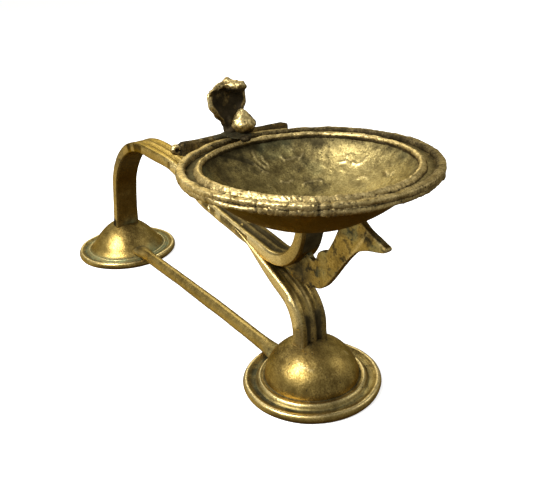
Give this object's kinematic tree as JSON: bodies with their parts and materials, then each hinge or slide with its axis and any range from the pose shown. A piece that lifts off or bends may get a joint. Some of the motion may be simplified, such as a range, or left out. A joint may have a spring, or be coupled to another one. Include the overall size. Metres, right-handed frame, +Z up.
{
  "type": "diya oil lamp",
  "caption": "hand-held brass aarti lamp: a shallow oil bowl with a double rim and a small cobra crest, carried by a bent fluted strap handle on two domed feet",
  "frame": {"origin": "middle of the lamp's length and width, on the surface that its feet stand on", "axes": "+X from the handle to the bowl, +Y to the lamp's left, +Z up"},
  "size_m": [0.2138, 0.08, 0.0993],
  "materials": {
    "aged_brass": "old cast brass, rubbed satin on the high places, brown and olive patina in the low ones",
    "bright_brass": "cast brass worn bright and pitted",
    "dark_brass": "cast brass under a near-black patina, bright only on its edges"
  },
  "bodies": {
    "root": {"bowl": "aged_brass", "inner_lip": "bright_brass", "rim_band_upper": "bright_brass", "rim_band_lower": "bright_brass", "handle_strap": "aged_brass", "front_leg": "aged_brass", "leaf_bracket": "aged_brass", "tie_rod": "aged_brass", "front_foot_disc": "aged_brass", "front_foot_dome": "aged_brass", "front_foot_collar": "aged_brass", "rear_foot_disc": "aged_brass", "rear_foot_dome": "aged_brass", "rear_foot_collar": "aged_brass", "cross_bar": "aged_brass", "bar_end_pellet": "dark_brass", "seat_tab": "dark_brass", "cobra": "dark_brass", "linga": "bright_brass", "lip_pellet": "dark_brass"}
  },
  "joints": []
}
